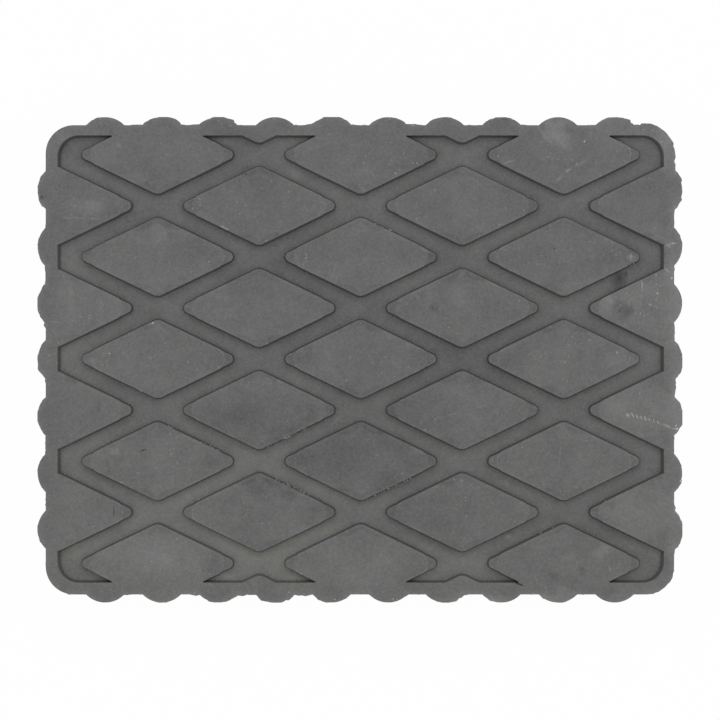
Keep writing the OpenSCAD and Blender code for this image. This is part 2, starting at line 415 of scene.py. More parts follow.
# Drifts of dust, where there are many more pale specks, in the same form
DRIFTS = (
    (-41.6, 36.6, 3.5, 2.6, 0, 1.0),
    (-34.5, 32.4, 6.5, 1.3, -26, 0.7),
    (-26.0, 28.2, 2.5, 1.3, 0, 0.5),
    (-37.5, 24.4, 4.5, 2.2, 26, 0.9),
    (-64.0, -0.5, 4.0, 3.0, 0, 0.7),
    (-24.0, 5.0, 7.0, 2.2, 0, 0.45),
    (-7.5, 16.5, 3.0, 4.0, 0, 0.5),
    (13.0, 21.0, 4.0, 2.5, -26, 0.6),
    (65.0, 25.5, 4.0, 2.5, 0, 0.8),
    (63.5, 1.5, 5.0, 2.6, 0, 0.8),
    (50.0, -2.5, 8.0, 4.0, 20, 0.35),
    (37.0, 15.5, 5.0, 3.0, 0, 0.4),
    (70.0, 15.0, 9.0, 7.0, 0, 0.4),
    (73.0, 25.0, 4.0, 9.0, 0, 0.5),
    (-27.0, -4.5, 7.0, 2.2, -20, 0.5),
    (9.0, -19.0, 6.0, 2.5, 20, 0.5),
    (62.0, -26.5, 5.0, 3.0, 0, 0.5),
    (70.0, -12.5, 6.0, 4.0, 0, 0.5),
    (72.0, 53.0, 5.0, 5.0, 0, 0.45),
)

# Every strength in the four tables is multiplied by this, but for the smears, which patchy bloom breaks up
SPOT_STRENGTH = 1.25

# Uneven patterns of the moulded rubber: name, width in millimetres, detail and roughness
NOISES = (
    # Blotches of bloom, with finer ones in them down to 0.1 mm that are nearly as strong
    ("mottle", 15, 7.0, 0.82),
    # The blasted skin of the mould shows as a grain of 0.2 to 0.6 mm
    ("grain", 0.6, 2.0, 0.8),
    # Patches of bloom that are left in a smear
    ("wiped", 1.5, 4.0, 0.8),
    # Where the outlines of marks are pushed to
    ("push", 4, 3.0, 0.65),
    # Patches of rubbed-in dust and of bloom
    ("hue", 2.5, 4.0, 0.75),
    # Places where dust specks gather
    ("drift", 11, 3.0, 0.5),
    # Which of the lugs' tips are rubbed
    ("rubbing", 9, 4.0, 0.7),
)
# Tone of the face, from 0 for the dark rubber to 1 for the faded one, before any mark
MEAN_TONE = 0.72
# How much shinier than the mean the palest mottling is, and how much duller the darkest
ROUGHNESS_SPREAD = 0.06

# Half the side of the table, and the side and the place of the large lamp over it
TABLE_REACH = 3.0
LAMP_SIZE = 1.6
LAMP_PLACE = (0.03, 0.15, 1.4)
# Width of the camera's sensor in millimetres, the unit that a lens is given in
SENSOR_WIDTH = 36.0
# How much of the table is plain white to the camera
WHITE_SHARE = 0.975


class LiftPadBlock(bpy.types.PropertyGroup):
    """Sizes of the block and its grip ribs"""

    length: bpy.props.FloatProperty(
        name="Length", description="Length between the feet of the ribs", default=156 * MM, unit="LENGTH"
    )
    width: bpy.props.FloatProperty(
        name="Width", description="Width between the feet of the ribs", default=116.5 * MM, unit="LENGTH"
    )
    height: bpy.props.FloatProperty(
        name="Height", description="Underside to tread face", default=PAD_HIGH.z, unit="LENGTH"
    )
    corner_radius: bpy.props.FloatProperty(
        name="Corner radius", description="Radius of the upright corners", default=7 * MM, unit="LENGTH"
    )
    rib_out: bpy.props.FloatProperty(
        name="Rib height", description="How far a rib stands out", default=2 * MM, unit="LENGTH"
    )
    rib_width: bpy.props.FloatProperty(
        name="Rib width", description="Width of a rib at its foot", default=9.5 * MM, unit="LENGTH"
    )
    rib_pitch: bpy.props.FloatProperty(
        name="Rib pitch", description="From one rib to the next", default=14.05 * MM, unit="LENGTH"
    )
    rib_clear: bpy.props.FloatProperty(
        name="Rib clearance", description="Least plain length at a corner", default=1 * MM, unit="LENGTH"
    )
    low_edge: bpy.props.FloatProperty(
        name="Lower edge", description="Rounding of the lower edge", default=0.5 * MM, unit="LENGTH"
    )


class LiftPadTread(bpy.types.PropertyGroup):
    """Sizes of the tread"""

    rim_width: bpy.props.FloatProperty(
        name="Rim width", description="Rim round the tread", default=2.8 * MM, unit="LENGTH"
    )
    recess_radius: bpy.props.FloatProperty(
        name="Recess radius", description="Radius of the tread's corners", default=5.3 * MM, unit="LENGTH"
    )
    depth: bpy.props.FloatProperty(
        name="Channel depth", description="Face to channel floor", default=3 * MM, unit="LENGTH"
    )
    draft: bpy.props.FloatProperty(
        name="Wall draft", description="Slope of the walls", default=math.radians(6), unit="ROTATION"
    )
    end_draft: bpy.props.FloatProperty(
        name="End draft", description="Slope of the recess walls at both short ends",
        default=math.radians(11), unit="ROTATION",
    )
    foot_radius: bpy.props.FloatProperty(
        name="Foot radius", description="Radius where wall meets floor", default=0.3 * MM, unit="LENGTH"
    )
    edge_radius: bpy.props.FloatProperty(
        name="Edge radius", description="Rounding of the face's edges", default=0.1 * MM, unit="LENGTH"
    )
    shift: bpy.props.FloatVectorProperty(
        name="Shift", description="Tread off the block's middle", default=(0.2 * MM, 0.2 * MM), size=2,
        unit="LENGTH",
    )
    lug_length: bpy.props.FloatProperty(
        name="Lug length", description="Across the acute tips, as if sharp", default=41.1 * MM,
        unit="LENGTH",
    )
    lug_width: bpy.props.FloatProperty(
        name="Lug width", description="Across the blunt corners, as if sharp", default=19.9 * MM,
        unit="LENGTH",
    )
    pitch: bpy.props.FloatVectorProperty(
        name="Lug pitch", description="From one lug to the next", default=(50.4 * MM, 25.35 * MM), size=2,
        unit="LENGTH",
    )
    tip_radius: bpy.props.FloatProperty(
        name="Tip radius", description="Radius of the acute tips", default=1.35 * MM, unit="LENGTH"
    )
    blunt_radius: bpy.props.FloatProperty(
        name="Blunt radius", description="Radius of the blunt corners", default=2.5 * MM, unit="LENGTH"
    )
    step_radius: bpy.props.FloatProperty(
        name="Tip step radius", description="Arc where a lowered tip starts", default=2.9 * MM,
        unit="LENGTH",
    )
    step_depth: bpy.props.FloatProperty(
        name="Tip step depth", description="How much lower a tip is", default=0.1 * MM, unit="LENGTH"
    )
    tip_inset: bpy.props.FloatProperty(
        name="Tip inset", description="How much narrower a tip is on each side", default=0.14 * MM,
        unit="LENGTH",
    )


class LiftPadWear(bpy.types.PropertyGroup):
    """Trimmed flash and damage"""

    seed: bpy.props.IntProperty(name="Seed", description="Start of the random draws", default=11)
    trim_proud: bpy.props.FloatProperty(
        name="Flash left", description="Most flash that the knife left", default=0.36 * MM, unit="LENGTH"
    )
    trim_cut: bpy.props.FloatProperty(
        name="Flash cut", description="Deepest that the knife cut in", default=0.34 * MM, unit="LENGTH"
    )
    trim_length: bpy.props.FloatProperty(
        name="Knife stroke", description="Mean length of one straight cut", default=1.2 * MM, unit="LENGTH"
    )
    ragged: bpy.props.FloatProperty(
        name="Raggedness", description="Roughness of a cut edge", default=0.04 * MM, unit="LENGTH"
    )
    drift: bpy.props.FloatProperty(
        name="Drift", description="How far the knife wanders from one stroke to the next",
        default=0.08 * MM, unit="LENGTH",
    )
    tip_fill: bpy.props.FloatProperty(
        name="Notch end", description="Radius of the rubber that closes a notch's sharp end",
        default=0.6 * MM, unit="LENGTH",
    )
    nib: bpy.props.FloatProperty(
        name="Nib size", description="Half the length of a flash nib", default=0.34 * MM, unit="LENGTH"
    )


class LiftPadRubber(bpy.types.PropertyGroup):
    """Colours of the rubber, as sRGB hex"""

    cool: bpy.props.StringProperty(
        name="Cool patches", description="Faded rubber with bloom", default="696a6e"
    )
    warm: bpy.props.StringProperty(
        name="Warm patches", description="Faded rubber with dust", default="6d6c68"
    )
    dark: bpy.props.StringProperty(name="Dark mottling", description="Less faded rubber", default="4a4a4b")
    # Painted shade: the channel floors are multiplied by this tint, which darkens them a little
    channel: bpy.props.StringProperty(
        name="Channels", description="Tint of the rubber down in the channels", default="fdfdfc"
    )
    torn: bpy.props.StringProperty(name="Torn rubber", description="Fresh torn rubber", default="dcdad4")
    crumbs: bpy.props.StringProperty(name="Crumbs", description="Crumbs on torn rubber", default="86857f")
    scuffed: bpy.props.StringProperty(
        name="Scuffed rubber", description="Rubber roughed up", default="b8b7b2"
    )
    speck: bpy.props.StringProperty(name="Specks", description="Grains of dust", default="c4c3be")
    mottling: bpy.props.FloatProperty(
        name="Mottling", description="Strength of the mottling", default=1.25
    )
    grain: bpy.props.FloatProperty(name="Grain", description="Strength of the fine grain", default=1.3)
    # Painted highlight and handling wear together: how pale the outer edge is made
    edge_wear_and_highlight: bpy.props.FloatProperty(
        name="Edge fade", description="How pale the outer edge is", default=0.35
    )
    roughness: bpy.props.FloatProperty(
        name="Roughness", description="Mean roughness", default=0.68, min=0, max=1, subtype="FACTOR"
    )


class LiftPadStudio(bpy.types.PropertyGroup):
    """Camera, lights and table"""

    view_width: bpy.props.FloatProperty(
        name="View width", description="Width seen at the tread face", default=178.55 * MM, unit="LENGTH"
    )
    camera_height: bpy.props.FloatProperty(
        name="Camera height", description="Camera over the tread face", default=900 * MM, unit="LENGTH"
    )
    aim: bpy.props.FloatVectorProperty(
        name="Aim", description="Point under the camera", default=(0.02 * MM, -0.04 * MM), size=2,
        unit="LENGTH",
    )
    table: bpy.props.StringProperty(name="Table", description="Colour of the table", default="f4f4f4")
    sky: bpy.props.FloatProperty(name="Room light", description="Level of the even light", default=0.32)
    key: bpy.props.FloatProperty(name="Key light", description="Power of the large lamp", default=15.5)


def settings(name):
    """Returns one group of this pad's settings."""
    return getattr(bpy.context.scene, "lift_pad_" + name)


def linear(hex_colour):
    """Turns an sRGB hex colour into the linear RGBA that a shader takes."""
    channels = [int(hex_colour[i:i + 2], 16) / 255 for i in (0, 2, 4)]
    return tuple(c / 12.92 if c <= 0.04045 else ((c + 0.055) / 1.055) ** 2.4 for c in channels) + (1.0,)


def feed(made, inputs):
    """Gives sockets of a node a value, or a link from a socket or from another node's first output."""
    for socket, value in inputs.items():
        if isinstance(value, bpy.types.Node):
            value = value.outputs[0]
        if isinstance(value, bpy.types.NodeSocket):
            made.id_data.links.new(value, made.inputs[socket])
        else:
            made.inputs[socket].default_value = value


def node(tree, kind, inputs=None, **properties):
    """Adds a shader node. properties are its own settings, and inputs is what its sockets are fed."""
    made = tree.nodes.new("ShaderNode" + kind)
    for name, value in properties.items():
        setattr(made, name, value)
    feed(made, inputs or {})
    return made


def new_material(name):
    """Makes a material, and returns it with its node tree and its shader."""
    material = bpy.data.materials.new(name)
    material.use_nodes = True
    return material, material.node_tree, material.node_tree.nodes["Principled BSDF"]


# Outlines and closed solids


def polar(centre, radius, angle):
    """Point at a distance and an angle from centre, on centre's level."""
    return Vector((centre[0] + radius * math.cos(angle), centre[1] + radius * math.sin(angle), centre[2]))


def spin_arc(bm, centre, radius, begin, sweep, steps):
    """Adds the edges of an arc, and returns its first and its last vertex."""
    first = bm.verts.new(polar(centre, radius, begin))
    turned = bmesh.ops.spin(
        bm, geom=[first], cent=centre, axis=UP, dvec=(0, 0, 0), angle=sweep, steps=steps,
        use_merge=False, use_duplicate=False,
    )
    return first, turned["geom_last"][0]


def fill(bm, facing):
    """Fills the one closed outline of a bmesh with a face that looks up for 1 and down for -1."""
    face = bmesh.ops.edgeloop_fill(bm, edges=bm.edges[:])["faces"][0]
    face.normal_update()
    if face.normal.z * facing < 0:
        bmesh.ops.reverse_faces(bm, faces=[face])
    return face


def outline_face(bm, arcs, link_cuts=0, facing=1):
    """Joins arcs end to end into a closed outline and fills it. An arc is its centre, radius, first angle,
    sweep and number of steps, and the straight lines between arcs are cut link_cuts times."""
    ends = [spin_arc(bm, *arc) for arc in arcs]
    links = [bm.edges.new((last, first)) for (_, last), (first, _) in zip(ends, ends[1:] + ends[:1])]
    if link_cuts:
        bmesh.ops.subdivide_edges(bm, edges=links, cuts=link_cuts)
    return fill(bm, facing)


def turned_copy(bm, face):
    """Copies a face with its outline, and turns the copy to look the other way."""
    copied = bmesh.ops.duplicate(bm, geom=[face] + face.verts[:] + face.edges[:])["geom"]
    back = next(g for g in copied if isinstance(g, bmesh.types.BMFace))
    bmesh.ops.reverse_faces(bm, faces=[back])
    return back


def grow(bm, face, inwards, onwards):
    """Moves a face inwards from its outline and onwards along its normal, with walls behind it."""
    bmesh.ops.inset_region(
        bm, faces=[face], thickness=inwards, depth=onwards, use_even_offset=True, use_boundary=True
    )


def stand_up(bm, face, profile):
    """Closes a flat face into a solid. profile lists the (inwards, onwards) steps that the face takes."""
    turned_copy(bm, face)
    for inwards, onwards in profile:
        grow(bm, face, inwards, onwards)
    bmesh.ops.remove_doubles(bm, verts=bm.verts[:], dist=TINY)


def steps_between(points):
    """Turns (distance out, height) points into the (inwards, onwards) steps from each to the next."""
    return [(a[0] - b[0], abs(b[1] - a[1])) for a, b in zip(points, points[1:])]


def quarter(centre, radius, begin, end, steps):
    """Points (distance out, height) of an arc in the section of a wall."""
    turn = (end - begin) / steps
    return [
        (centre[0] + radius * math.cos(begin + turn * k), centre[1] + radius * math.sin(begin + turn * k))
        for k in range(steps + 1)
    ]


def new_object(name, bm, materials=()):
    """Makes an object at the origin from a bmesh, and frees the bmesh."""
    mesh = bpy.data.meshes.new(name)
    for material in materials:
        mesh.materials.append(material)
    bm.normal_update()
    bm.to_mesh(mesh)
    bm.free()
    made = bpy.data.objects.new(name, mesh)
    bpy.context.scene.collection.objects.link(made)
    return made


def combine(body, other, operation):
    """Cuts other from body or joins it to body, and removes other."""
    boolean = body.modifiers.new(operation.lower(), "BOOLEAN")
    boolean.operation = operation
    boolean.solver = "MANIFOLD"
    boolean.object = other
    with bpy.context.temp_override(object=body, active_object=body):
        bpy.ops.object.modifier_apply(modifier=boolean.name)
    bpy.data.objects.remove(other)


# The block


def rib_places(block, length):
    """Places of the ribs along a side, from its middle."""
    room = length - 2 * (block.corner_radius + block.rib_clear) - block.rib_width
    count = int(room / block.rib_pitch + TINY) + 1
    return [(i - (count - 1) / 2) * block.rib_pitch for i in range(count)]


def rib_radius(block):
    """Radius of the circle through both feet of a rib and its crest."""
    return (block.rib_width ** 2 / 4 + block.rib_out ** 2) / (2 * block.rib_out)


def block_arcs(block, level):
    """Arcs of the scalloped outline: each side's ribs and the corner after them, anticlockwise."""
    radius = rib_radius(block)
    rib_half = math.asin(block.rib_width / 2 / radius)
    arcs = []
    for side in range(4):
        turn = side * math.pi / 2
        spin = Matrix.Rotation(turn, 3, "Z")
        length, width = (block.length, block.width) if side % 2 == 0 else (block.width, block.length)
        for place in rib_places(block, length):
            centre = spin @ Vector((place, radius - block.rib_out - width / 2, level))
            arcs.append((centre, radius, turn - math.pi / 2 - rib_half, 2 * rib_half, RIB_STEPS))
        corner = Vector((length / 2 - block.corner_radius, block.corner_radius - width / 2, level))
        arcs.append((spin @ corner, block.corner_radius, turn - math.pi / 2, math.pi / 2, UPRIGHT_STEPS))
    return arcs


def knife_cuts(total, wear, rng):
    """Straight strokes of the trimming knife: (where it ends, offset at its start, offset at its end)."""
    strokes = []
    place = drift = offset = 0.0
    while place < total:
        place += wear.trim_length * rng.uniform(*STROKE_RANGE)
        drift = DRIFT_KEPT * drift + rng.gauss(0, wear.drift)
        start = offset
        if rng.random() >= STROKES_JOINED:
            start = drift + rng.triangular(-wear.trim_cut, wear.trim_proud, 0.0)
        offset = drift + rng.triangular(-wear.trim_cut, wear.trim_proud, 0.0)
        strokes.append((place, start, offset))
    return strokes


def trim_shifts(places, wear, rng):
    """How far each point of the outline is moved out or in, as the knife left the flash there."""
    count = len(places)
    lengths = [(places[i] - places[i - 1]).length for i in range(count)]
    strokes = knife_cuts(sum(lengths), wear, rng)
    shifts = []
    along = begun = 0.0
    end, first, last = strokes.pop(0)
    for i in range(count):
        along += lengths[i]
        while along > end and strokes:
            begun = end
            end, first, last = strokes.pop(0)
        offset = first + (last - first) * (along - begun) / (end - begun) + rng.gauss(0, wear.ragged)
        outward = (places[(i + 1) % count] - places[i - 1]).cross(UP).normalized()
        shifts.append(outward * offset)
    return shifts


def make_block(block, wear, rng, materials):
    """The ribbed block, with a rounded lower edge and hand-trimmed flash round the tread face."""
    bm = bmesh.new()
    low = block.low_edge
    face = outline_face(bm, block_arcs(block, low), link_cuts=FLAT_CUTS)
    places = [vert.co.copy() for vert in face.verts]
    shifts = trim_shifts(places, wear, rng)
    under = turned_copy(bm, face)
    for below, share in FLASH_RINGS:
        grow(bm, face, 0, block.height - below - face.verts[0].co.z)
        for vert, place, shift in zip(face.verts, places, shifts):
            vert.co = place + shift * share
            vert.co.z = block.height - below
    for inwards, onwards in steps_between(quarter((0, 0), low, 0, math.pi / 2, EDGE_STEPS)):
        grow(bm, under, inwards, onwards)
    bmesh.ops.remove_doubles(bm, verts=bm.verts[:], dist=TINY)
    for vert in bm.verts:
        vert.co.x = max(PAD_LOW.x, min(PAD_HIGH.x, vert.co.x))
        vert.co.y = max(PAD_LOW.y, min(PAD_HIGH.y, vert.co.y))
    return new_object("pad_rubber", bm, materials)


# The tread


def tip_half(tread):
    """Half the angle of a lug's acute tip."""
    return math.atan2(tread.lug_width, tread.lug_length)


def lug_arcs(tread, out, centre):
    """Arcs of a lug's outline, which lies out from the real one. Its arcs keep their centres. A shoulder at
    each side of a tip turns in to the narrower nose."""
    half = tip_half(tread)
    turn = math.pi / 2 - half
    blunt = Vector((0, tread.lug_width / 2 - tread.blunt_radius / math.cos(half), 0))
    blunt_radius = tread.blunt_radius + out
    step_radius = tread.step_radius + out
    nose_radius = tread.tip_radius + out - tread.tip_inset
    bend = math.acos(1 - tread.tip_inset / step_radius)
    arcs = []
    for side in (1, -1):
        facing = 0 if side > 0 else math.pi
        step, nose = (
            centre + Vector((side * (tread.lug_length / 2 - radius / math.sin(half)), 0, 0))
            for radius in (tread.step_radius, tread.tip_radius)
        )
        arcs += [
            (step, step_radius, facing - turn, bend, SHOULDER_STEPS),
            (nose, nose_radius, facing - turn, 2 * turn, TIP_STEPS),
            (step, step_radius, facing + turn - bend, bend, SHOULDER_STEPS),
            (centre + side * blunt, blunt_radius, facing + turn, 2 * half, BLUNT_STEPS),
        ]
    return arcs


def recess_arcs(block, tread, out, level):
    """Arcs of the recess outline, which lies out from the real one."""
    x = block.length / 2 - tread.rim_width - tread.recess_radius
    y = block.width / 2 - tread.rim_width - tread.recess_radius
    middle = Vector((tread.shift[0], tread.shift[1], level))
    corners = ((x, y), (-x, y), (-x, -y), (x, -y))
    radius = tread.recess_radius + out
    return [
        (middle + Vector((*corner, 0)), radius, side * math.pi / 2, math.pi / 2, CORNER_STEPS)
        for side, corner in enumerate(corners)
    ]


def wall_points(tread):
    """Section of a channel wall, floor first, as (distance out from the face's edge, height over the floor)
    points."""
    foot, edge, depth, draft = tread.foot_radius, tread.edge_radius, tread.depth, tread.draft
    foot_out = (depth - foot + foot * math.sin(draft)) * math.tan(draft) + foot * math.cos(draft)
    edge_out = edge * math.tan(draft) - edge / math.cos(draft)
    return quarter((foot_out, foot), foot, -math.pi / 2, draft - math.pi, FOOT_STEPS) + quarter(
        (edge_out, depth - edge), edge, draft, math.pi / 2, EDGE_STEPS
    )


def lug_places(block, tread):
    """Columns, rows and centres of the lugs that reach into the recess."""
    columns = math.ceil(block.length / tread.pitch[0])
    rows = math.ceil(block.width / tread.pitch[1])
    places = []
    for column in range(-columns, columns + 1):
        for row in range(-rows, rows + 1):
            x, y = column * tread.pitch[0] / 2, row * tread.pitch[1] / 2
            near_x = abs(x) - tread.lug_length / 2 < block.length / 2 - tread.rim_width - tread.tip_radius
            near_y = abs(y) - tread.lug_width / 2 < block.width / 2 - tread.rim_width
            if (column + row) % 2 == 0 and near_x and near_y:
                places.append((column, row, Vector((x + tread.shift[0], y + tread.shift[1], 0))))
    return places


def make_lugs(block, tread):
    """All lugs as tall closed solids, sunk below the channel floor and standing over the recess cutter."""
    points = wall_points(tread)
    points[0] = (points[0][0], -CLEAR)
    points[-1] = (points[-1][0], points[-1][1] + CLEAR)
    one = bmesh.new()
    base = Vector((0, 0, block.height - tread.depth - CLEAR - PAST))
    face = outline_face(one, lug_arcs(tread, points[0][0], base))
    stand_up(one, face, [(0, PAST)] + steps_between(points) + [(0, OVER + PAST)])
    single = bpy.data.meshes.new("lug")
    one.to_mesh(single)
    one.free()
    bm = bmesh.new()
    for _, _, centre in lug_places(block, tread):
        bm.from_mesh(single)
        bmesh.ops.translate(bm, verts=bm.verts[-len(single.vertices):], vec=centre)
    bpy.data.meshes.remove(single)
    return new_object("lugs", bm)


def lean_ends(bm, block, tread):
    """Leans the recess walls at both short ends in further than the long ones, by the end draft."""
    start = block.length / 2 - tread.rim_width - tread.recess_radius
    lean = math.tan(tread.end_draft) - math.tan(tread.draft)
    past = {vert: abs(vert.co.x - tread.shift[0]) - start for vert in bm.verts}
    reach = {}
    for vert, distance in past.items():
        level = round(vert.co.z / TINY)
        reach[level] = max(reach.get(level, 0), distance)
    for vert, distance in past.items():
        if distance > 0:
            share = distance / reach[round(vert.co.z / TINY)]
            inwards = math.copysign(1, tread.shift[0] - vert.co.x)
            vert.co.x += inwards * share * lean * (block.height - vert.co.z)


def make_recess(block, tread):
    """The recess that the tread lies in, as a cutter from over the face down to the channel floor."""
    points = wall_points(tread)
    points[-1] = (points[-1][0], points[-1][1] + CLEAR)
    # The recess wall faces the lugs' walls, so what is out for a lug is inwards here
    points = [(-out, height) for out, height in reversed(points)]
    bm = bmesh.new()
    arcs = recess_arcs(block, tread, points[0][0], block.height + CLEAR + OVER)
    stand_up(bm, outline_face(bm, arcs, facing=-1), [(0, OVER)] + steps_between(points))
    lean_ends(bm, block, tread)
    return new_object("recess", bm)


def make_tip_steps(block, tread):
    """Cutters that lower each acute tip by a little, in arcs, as the round tool left them in the mould."""
    half = tip_half(tread)
    slope = tread.step_depth
    # The wall slopes at 45 degrees, from over the face down to the lowered tip
    profile = [(2 * slope, 2 * slope), *TIP_RINGS]
    reach = tread.step_radius / math.sin(half)
    radius = tread.step_radius + STEP_FOOT - 2 * slope
    turn = math.pi / 2 - half
    bm = bmesh.new()
    for _, _, centre in lug_places(block, tread):
        for side in (1, -1):
            tip = centre.x + side * tread.lug_length / 2
            if abs(tip) > block.length / 2 - tread.rim_width or abs(centre.y) > block.width / 2:
                continue
            middle = Vector((tip - side * reach, centre.y, block.height + slope))
            begin = -turn if side > 0 else math.pi - turn
            beyond = side * STEP_MARGIN
            part = bmesh.new()
            first, corner = spin_arc(part, middle, radius, begin + 2 * turn, -2 * turn, TIP_STEPS)
            outer = [
                polar(middle, radius + STEP_MARGIN, begin),
                Vector((tip + beyond, middle.y - beyond, middle.z)),
                Vector((tip + beyond, middle.y + beyond, middle.z)),
                polar(middle, radius + STEP_MARGIN, begin + 2 * turn),
            ]
            for place in outer:
                added = part.verts.new(place)
                part.edges.new((corner, added))
                corner = added
            part.edges.new((corner, first))
            stand_up(part, fill(part, -1), profile)
            made = bpy.data.meshes.new("tip")
            part.to_mesh(made)
            part.free()
            bm.from_mesh(made)
            bpy.data.meshes.remove(made)
    return new_object("tip_steps", bm)


def lump(bm, place, sizes, turn, rough, slot, rng):
    """Adds a small rough stone shape. sizes are its three half sizes, and rough is how uneven it is."""
    shape = Matrix.Translation(place) @ Matrix.Rotation(turn, 4, "Z") @ Matrix.Diagonal((*sizes, 1))
    made = bmesh.ops.create_icosphere(bm, subdivisions=1, radius=1, matrix=shape)
    for vert in made["verts"]:
        vert.co += Vector([rng.uniform(-rough, rough) * size for size in sizes])
    for face in {face for vert in made["verts"] for face in vert.link_faces}:
        face.material_index = slot


def apart(one, other):
    """Whether two lumps can't touch."""
    return (one[0] - other[0]).length > LUMP_ROOM * (max(one[1]) + max(other[1]))


def combine_lumps(body, lumps, operation, rough, top, rng, materials):
    """Cuts rough lumps from body or joins them to it, flattened at the height top. A lump is its place,
    three half sizes, turn and slot. Lumps that may touch go in one after the other, because a body that
    crosses itself tears the faces round it."""
    layers = []
    for one in lumps:
        for layer in layers:
            if all(apart(one, other) for other in layer):
                layer.append(one)
                break
        else:
            layers.append([one])
    for layer in layers:
        bm = bmesh.new()
        for place, sizes, turn, slot in layer:
            lump(bm, place, sizes, turn, rough, slot, rng)
        for vert in bm.verts:
            vert.co.z = min(vert.co.z, top)
        combine(body, new_object("lumps", bm, materials), operation)


def nib_lumps(block, tread, wear, rng):
    """Small flakes of flash that stand out from the lugs' edges over the channel."""
    half = tip_half(tread)
    centres = {(column, row): centre for column, row, centre in lug_places(block, tread)}
    lumps = []
    for column, row, right, upper, begin, end, count, torn in RAGS:
        fresh = set(rng.sample(range(count), torn))
        for k in range(count):
            share = begin + (end - begin) * (k + rng.uniform(*NIB_PLACES)) / count
            size = wear.nib * rng.uniform(*NIB_LENGTHS) * (FRESH_NIB if k in fresh else 1.0)
            edge = Vector((
                right * share * tread.lug_length / 2,
                upper * (1 - share) * tread.lug_width / 2,
                block.height - size * NIB_SUNK,
            ))
            outward = Vector((right * math.sin(half), upper * math.cos(half), 0))
            place = centres[(column, row)] + edge + outward * size * rng.uniform(*NIB_OUT)
            sizes = (size, size * rng.uniform(*NIB_WIDTHS), size * NIB_HEIGHT)
            slot = SCUFFED_SLOT if k in fresh else RUBBER_SLOT
            lumps.append((place, sizes, rng.uniform(0, math.pi), slot))
    return lumps


def make_notch_ends(block, tread, wear):
    """Posts that close the last sharp sliver of each notch between a fused lug and the rim."""
    half_width = block.width / 2 - tread.rim_width
    bm = bmesh.new()
    for _, _, centre in lug_places(block, tread):
        over = half_width - abs(centre.y - tread.shift[1])
        if 0 < over < tread.lug_width / 2 and abs(centre.x) < block.length / 2 - tread.lug_length / 2:
            reach = tread.lug_length / 2 * (1 - over / (tread.lug_width / 2))
            edge = math.copysign(half_width, centre.y) + tread.shift[1]
            for side in (1, -1):
                place = Vector((centre.x + side * reach, edge, block.height - tread.depth / 2))
                bmesh.ops.create_cone(
                    bm, cap_ends=True, segments=BLUNT_STEPS, radius1=wear.tip_fill, radius2=wear.tip_fill,
                    depth=2 * tread.depth, matrix=Matrix.Translation(place),
                )
    return new_object("notch_ends", bm)


def damage_lumps(block, rng):
    """The scuffs, chips, pits and nicks of the tread face."""
    lumps = []
    for x, y, long, wide, deep, turn, slot in DAMAGE:
        sizes = (long * MM, wide * MM, deep * MM)
        lumps.append((Vector((x * MM, y * MM, block.height)), sizes, math.radians(turn), slot))
    first, last, count = SCUFF
    for k in range(count):
        x, y, long = (a + (b - a) * k / (count - 1) for a, b in zip(first, last))
        sizes = (long * rng.uniform(*SCUFF_LENGTHS) * MM, rng.uniform(*SCUFF_WIDTHS) * MM, SCUFF_DEPTH * MM)
        turn = math.radians(rng.uniform(*SCUFF_TURNS))
        lumps.append((Vector((x * MM, y * MM, block.height)), sizes, turn, SCUFFED_SLOT))
    return lumps


class LIFTPAD_OT_pad(bpy.types.Operator):
    """Models the rubber pad, with its tread, trimmed flash and damage"""

    bl_idname = "lift_pad.pad"
    bl_label = "Rubber pad"

    def execute(self, context):
        block, tread, wear, colours = (settings(name) for name in ("block", "tread", "wear", "rubber"))
        rng = random.Random(wear.seed)
        materials = [
            moulded_rubber(),
            bared_rubber("torn_rubber", colours.crumbs, colours.torn),
            bared_rubber("scuffed_rubber", colours.crumbs, colours.scuffed),
        ]
        pad = make_block(block, wear, rng, materials)
        channels = make_recess(block, tread)
        combine(channels, make_lugs(block, tread), "DIFFERENCE")
        combine(channels, make_notch_ends(block, tread, wear), "DIFFERENCE")
        combine(pad, channels, "DIFFERENCE")
        combine(pad, make_tip_steps(block, tread), "DIFFERENCE")
        damage = damage_lumps(block, rng)
        combine_lumps(pad, damage, "DIFFERENCE", DAMAGE_ROUGH, block.height + OVER, rng, materials)
        nibs = nib_lumps(block, tread, wear, rng)
        combine_lumps(pad, nibs, "UNION", NIB_ROUGH, block.height - CLEAR, rng, materials)
        pad.data.set_sharp_from_angle(angle=SHARP_ANGLE)
        for polygon in pad.data.polygons:
            polygon.use_smooth = abs(polygon.normal.z) < LEVEL
        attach(pad, "root")
        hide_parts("pad")
        return {"FINISHED"}


# Materials


def spots(tree, place, rows, texture=SPOT_STRENGTH):
    """Sum of soft oval spots that fade out towards their edge. texture is what all of them are multiplied
    by: one strength, or a pattern that breaks them up."""
    total = 0.0
    for x, y, long, wide, turn, strength in rows:
        oval = {1: (x * MM, y * MM, 0), 2: (0, 0, math.radians(turn)), 3: (long * MM, wide * MM, 1)}
        here = node(tree, "Mapping", {0: place, **oval}, vector_type="TEXTURE")
        cone = node(tree, "TexGradient", {0: here}, gradient_type="SPHERICAL").outputs["Fac"]
        total = node(tree, "Math", {0: cone, 1: strength, 2: total}, operation="MULTIPLY_ADD")
    return node(tree, "Math", {0: total, 1: texture}, operation="MULTIPLY")


def warped(tree, place, push, reach):
    """Place, moved along push by up to half of reach."""
    return node(tree, "VectorMath", {0: push, 1: (reach, reach, 0), 2: place}, operation="MULTIPLY_ADD")


